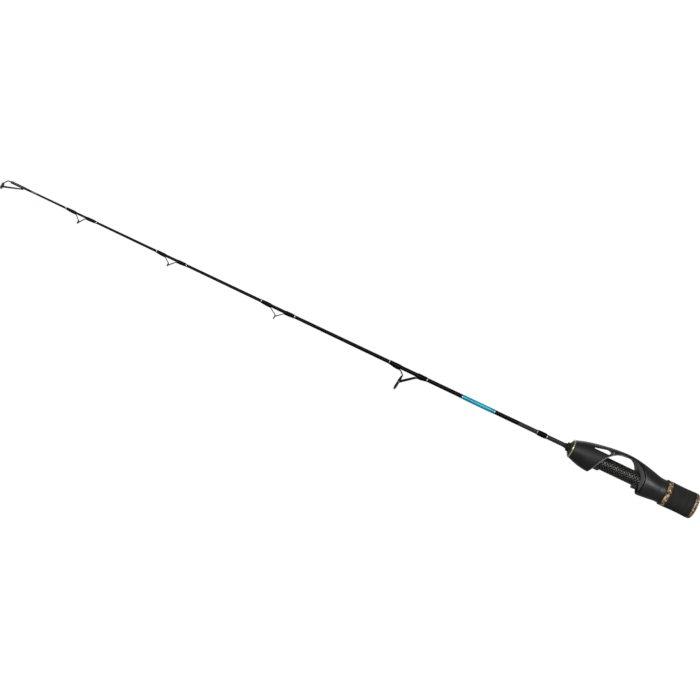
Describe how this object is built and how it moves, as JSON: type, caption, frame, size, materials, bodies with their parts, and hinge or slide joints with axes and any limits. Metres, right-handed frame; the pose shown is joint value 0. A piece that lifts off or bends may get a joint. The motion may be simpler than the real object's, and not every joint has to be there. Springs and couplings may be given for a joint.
{
  "type": "ice fishing rod",
  "caption": "Short spinning rod for ice fishing: tapered blank with ringed line guides, skeleton reel seat and a grip that turns to lock the reel.",
  "frame": {"origin": "centre of the butt's flat end face, on the rod's axis", "axes": "+X along the rod to its tip, +Z to the palm side of the handle, -Z to the reel and the line guides"},
  "size_m": [0.762, 0.027, 0.0418],
  "materials": {
    "blank_carbon": "clear-coated graphite composite, glossy",
    "braided_carbon": "braided carbon sleeve in clear resin",
    "seat_plastic": "soft-touch moulded nylon, satin",
    "hood_plastic": "moulded nylon, matte",
    "nose_plastic": "moulded plastic, olive-black, semi-gloss",
    "pad_rubber": "matte rubber",
    "check_rubber": "matte rubber",
    "gold_metal": "anodised pale gold",
    "cork": "composite cork with dark grains, sanded",
    "eva_foam": "closed-cell foam, sanded matte",
    "plug_plastic": "moulded plastic",
    "nut_brass": "turned",
    "inner_plastic": "moulded plastic",
    "thread_aluminium": "turned",
    "teal_band": "metallic teal foil under clear coat",
    "silver_trim": "metallic silver thread under clear coat",
    "thread_wrap": "black thread under clear epoxy",
    "tip_thread": "black thread with a teal trim under clear epoxy",
    "guide_metal": "polished dark stainless steel",
    "ring_ceramic": "polished dark ceramic"
  },
  "bodies": {
    "rod": {"band_trims": "silver_trim", "blank": "blank_carbon", "butt_wrap": "thread_wrap", "butt_wrap_trims": "silver_trim", "colour_band": "teal_band", "core_tube": "braided_carbon", "front_arbor": "inner_plastic", "front_foot_pad": "pad_rubber", "guide_1_frame": "guide_metal", "guide_1_front_wrap": "thread_wrap", "guide_1_rear_wrap": "thread_wrap", "guide_1_ring": "ring_ceramic", "guide_2_frame": "guide_metal", "guide_2_front_wrap": "thread_wrap", "guide_2_rear_wrap": "thread_wrap", "guide_2_ring": "ring_ceramic", "guide_3_frame": "guide_metal", "guide_3_front_wrap": "thread_wrap", "guide_3_rear_wrap": "thread_wrap", "guide_3_ring": "ring_ceramic", "guide_4_frame": "guide_metal", "guide_4_front_wrap": "thread_wrap", "guide_4_rear_wrap": "thread_wrap", "guide_4_ring": "ring_ceramic", "middle_arbor": "inner_plastic", "nose_cone": "nose_plastic", "rear_arbor": "inner_plastic", "rear_foot_pad": "pad_rubber", "seat_shell": "seat_plastic", "thread_sleeve": "thread_aluminium", "tip_frame": "guide_metal", "tip_ring": "ring_ceramic", "tip_tube": "guide_metal", "tip_wrap": "tip_thread", "trim_ring": "gold_metal", "winding_check": "check_rubber", "wrap_trims": "silver_trim"},
    "hood": {"sliding_hood": "hood_plastic"},
    "barrel": {"lock_nut": "nut_brass", "barrel_sleeve": "inner_plastic", "front_cork_ring": "cork", "eva_grip": "eva_foam", "rear_cork_ring": "cork", "butt_plug": "plug_plastic"}
  },
  "joints": [
    {"name": "hood_slide", "type": "slide", "parent": "rod", "child": "hood", "axis": [1, 0, 0], "range_m": [0, 0.006]},
    {"name": "barrel_turn", "type": "hinge", "parent": "hood", "child": "barrel", "pos_m": [0.02, 0, 0], "axis": [1, 0, 0], "range_deg": [0, 720]}
  ],
  "couplings": [
    {"joint": "hood_slide", "follows": "barrel_turn", "m_per_rad": 0.00047746}
  ]
}
